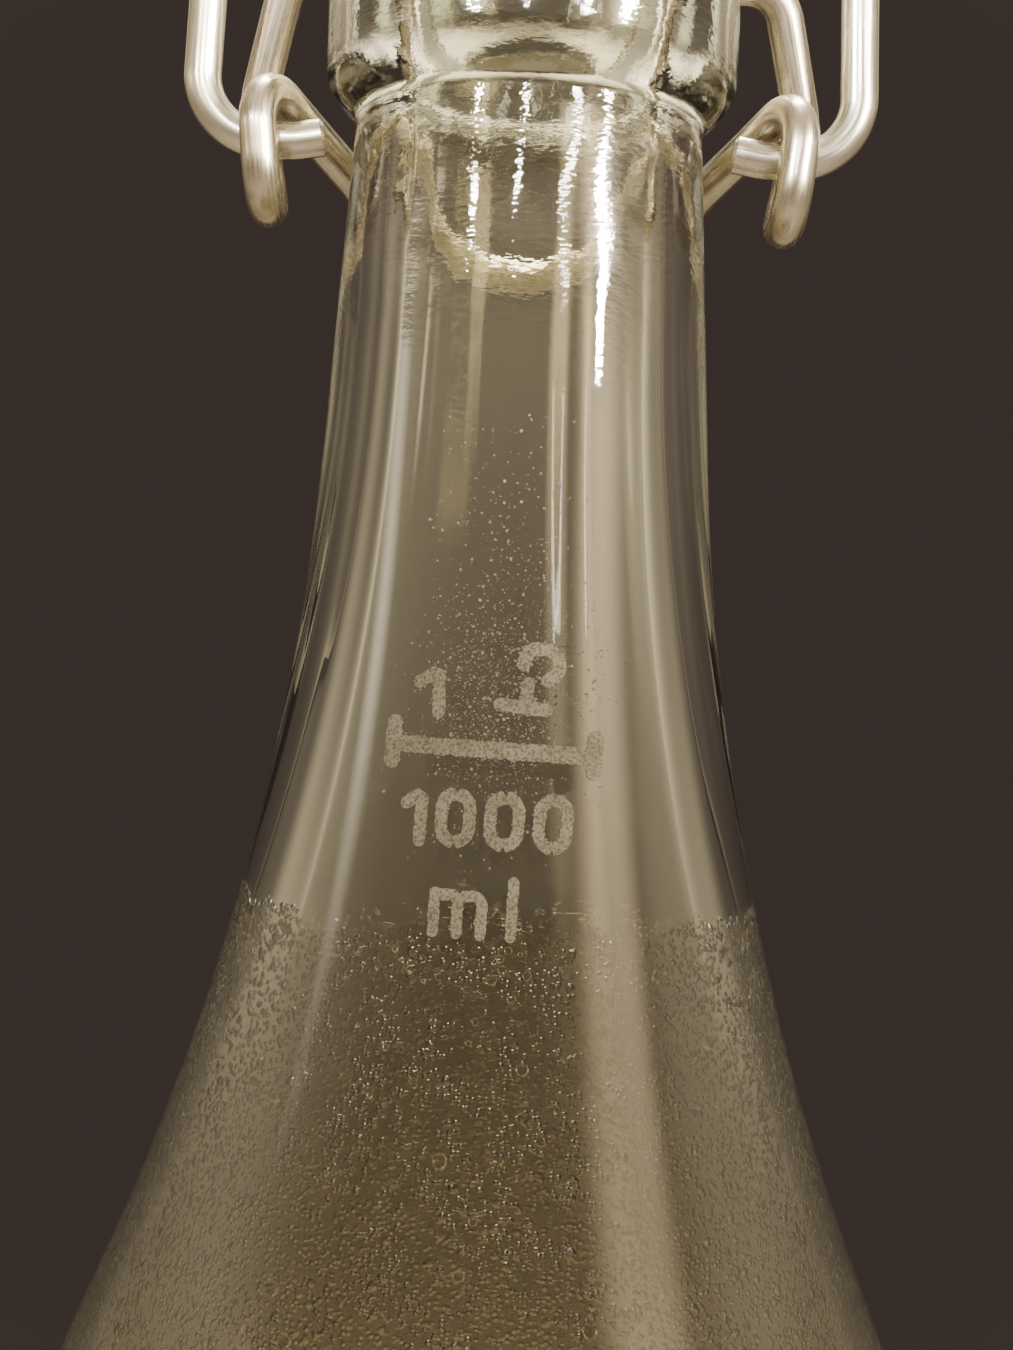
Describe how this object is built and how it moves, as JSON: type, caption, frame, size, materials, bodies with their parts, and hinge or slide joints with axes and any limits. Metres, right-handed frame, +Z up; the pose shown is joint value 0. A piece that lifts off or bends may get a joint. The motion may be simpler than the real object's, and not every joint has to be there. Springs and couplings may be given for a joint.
{
  "type": "swing-top bottle",
  "caption": "Clear glass swing-top bottle with a one litre fill mark: a wire lever and bail pull a porcelain stopper and rubber washer onto the mouth.",
  "frame": {"origin": "centre of the standing ring, on the surface the bottle stands on", "axes": "+Z up along the bottle's axis, -Y to the front with the fill mark, +X to the right seen from the front; the thumb loop lies at +Y"},
  "size_m": [0.088, 0.088, 0.3338],
  "materials": {
    "glass": "clear, faint olive tint at the edges",
    "lever_steel": "bright drawn steel wire",
    "bail_steel": "bright drawn steel wire",
    "porcelain": "white glaze",
    "rubber": "matt moulded rubber"
  },
  "bodies": {
    "bottle": {"glass_bottle": "glass"},
    "lever": {"lever_wire": "lever_steel"},
    "bail": {"bail_wire": "bail_steel"},
    "stopper": {"stopper": "porcelain", "seal_washer": "rubber"}
  },
  "joints": [
    {"name": "lever_swing", "type": "hinge", "parent": "bottle", "child": "lever", "pos_m": [0, 0, 0.305], "axis": [1, 0, 0], "range_deg": [0, 160]},
    {"name": "bail_swing", "type": "hinge", "parent": "lever", "child": "bail", "pos_m": [0, -0.001, 0.2918], "axis": [1, 0, 0], "range_deg": [-97.6, 0]},
    {"name": "stopper_tilt", "type": "hinge", "parent": "bail", "child": "stopper", "pos_m": [0, 0, 0.3273], "axis": [1, 0, 0], "range_deg": [-62.4, 0]}
  ],
  "couplings": [
    {"joint": "bail_swing", "follows": "lever_swing", "ratio": -0.61},
    {"joint": "stopper_tilt", "follows": "lever_swing", "ratio": -0.39}
  ]
}
